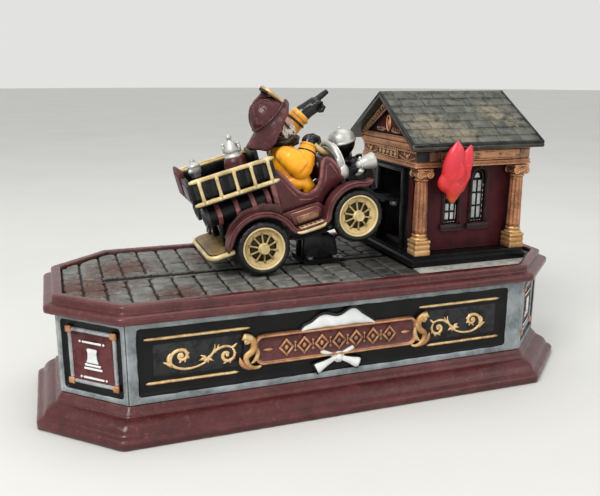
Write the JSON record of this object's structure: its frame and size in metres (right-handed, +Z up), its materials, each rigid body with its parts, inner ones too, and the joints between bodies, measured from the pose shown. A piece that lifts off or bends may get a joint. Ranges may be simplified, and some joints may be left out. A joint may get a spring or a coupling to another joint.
{
  "type": "mechanical coin bank",
  "caption": "Painted cast-iron mechanical bank: a fire engine rocks on a post and slides a coin through the door of a burning building into the hollow base.",
  "frame": {"origin": "centre of the footprint on the surface the bank stands on", "axes": "+X along the length towards the building, +Y towards the side with the finger lever, +Z up"},
  "size_m": [0.2616, 0.116, 0.1412],
  "materials": {
    "maroon_paint": "maroon enamel on cast iron, worn pink on the edges",
    "grey_paint": "silver-grey enamel with black sunk fields",
    "stone_paint": "stone-grey enamel, brushed back to brown in the joints",
    "black_paint": "black enamel on cast iron",
    "copper_paint": "coppery gilt enamel",
    "slate_paint": "dark slate enamel with tan dust",
    "flame_paint": "red and orange enamel",
    "steel": "plain steel",
    "spring_steel": "oiled spring wire",
    "cast_lever": "black japanned cast iron",
    "silver_paint": "silver paint",
    "cream_paint": "cream and gilt enamel",
    "coat_paint": "orange-yellow enamel",
    "skin_paint": "flesh enamel"
  },
  "bodies": {
    "base": {"base_skirt": "maroon_paint", "front_panel": "grey_paint", "back_panel": "grey_paint", "left_end": "grey_paint", "right_end": "grey_paint", "name_tablet": "maroon_paint", "deck": "stone_paint", "bottom_plate": "black_paint", "trap_screw": "steel", "tie_bolts": "steel", "plinth": "black_paint", "wall_front": "maroon_paint", "wall_back": "maroon_paint", "wall_near": "maroon_paint", "wall_far": "maroon_paint", "windows": "black_paint", "columns": "copper_paint", "entablature": "copper_paint", "roof": "slate_paint", "gables": "copper_paint", "flame": "flame_paint", "coin_chute": "black_paint", "deck_screws": "steel", "truck_post": "black_paint", "pivot_pin": "steel", "lever_bracket": "black_paint", "lever_pin": "steel", "return_spring": "spring_steel"},
    "truck": {"chassis": "black_paint", "fender_near": "maroon_paint", "fender_far": "maroon_paint", "cab_body": "maroon_paint", "hood": "black_paint", "cowl": "grey_paint", "radiator": "black_paint", "coin_tray": "black_paint", "bell": "silver_paint", "headlamps": "silver_paint", "steering_wheel": "cream_paint", "ladder_near": "cream_paint", "ladder_far": "cream_paint", "tank_near": "black_paint", "tank_far": "black_paint", "hose_bed": "black_paint", "boiler": "maroon_paint", "axles": "steel", "rod_pin": "steel", "driver_body": "coat_paint", "driver_head": "skin_paint", "driver_helmet": "maroon_paint", "arm_steering": "coat_paint", "arm_pointing": "coat_paint"},
    "rod": {"connecting_rod": "steel"},
    "lever": {"lever": "cast_lever"},
    "trap": {"coin_trap": "black_paint"},
    "wheel_rear_near": {"wheel_rear_near": "black_paint"},
    "wheel_rear_far": {"wheel_rear_far": "black_paint"},
    "wheel_front_near": {"wheel_front_near": "black_paint"},
    "wheel_front_far": {"wheel_front_far": "black_paint"}
  },
  "joints": [
    {"name": "truck_rock", "type": "hinge", "parent": "base", "child": "truck", "pos_m": [0, 0, 0.0735], "axis": [0, 1, 0], "range_deg": [0, 24]},
    {"name": "rod_swing", "type": "hinge", "parent": "truck", "child": "rod", "pos_m": [0.00783, 0, 0.07516], "axis": [0, 1, 0], "range_deg": [-24, 0]},
    {"name": "lever_press", "type": "hinge", "parent": "base", "child": "lever", "pos_m": [0, 0, 0.0375], "axis": [0, 1, 0], "range_deg": [0, 24], "stiffness_Nm_per_rad": 0.1, "springref_deg": -14.32, "deforming": ["return_spring"]},
    {"name": "trap_swing", "type": "hinge", "parent": "base", "child": "trap", "pos_m": [-0.052, 0, 0.00165], "axis": [0, 0, 1], "range_deg": [0, 100]},
    {"name": "rear_near_spin", "type": "hinge", "parent": "truck", "child": "wheel_rear_near", "pos_m": [-0.0287, -0.0195, 0.0688], "axis": [0, 1, 0], "continuous": true},
    {"name": "rear_far_spin", "type": "hinge", "parent": "truck", "child": "wheel_rear_far", "pos_m": [-0.0287, 0.0195, 0.0688], "axis": [0, 1, 0], "continuous": true},
    {"name": "front_near_spin", "type": "hinge", "parent": "truck", "child": "wheel_front_near", "pos_m": [0.01756, -0.0195, 0.08098], "axis": [0, 1, 0], "continuous": true},
    {"name": "front_far_spin", "type": "hinge", "parent": "truck", "child": "wheel_front_far", "pos_m": [0.01756, 0.0195, 0.08098], "axis": [0, 1, 0], "continuous": true}
  ],
  "couplings": [
    {"joint": "rod_swing", "follows": "truck_rock", "ratio": -1},
    {"joint": "lever_press", "follows": "truck_rock", "ratio": 1}
  ]
}
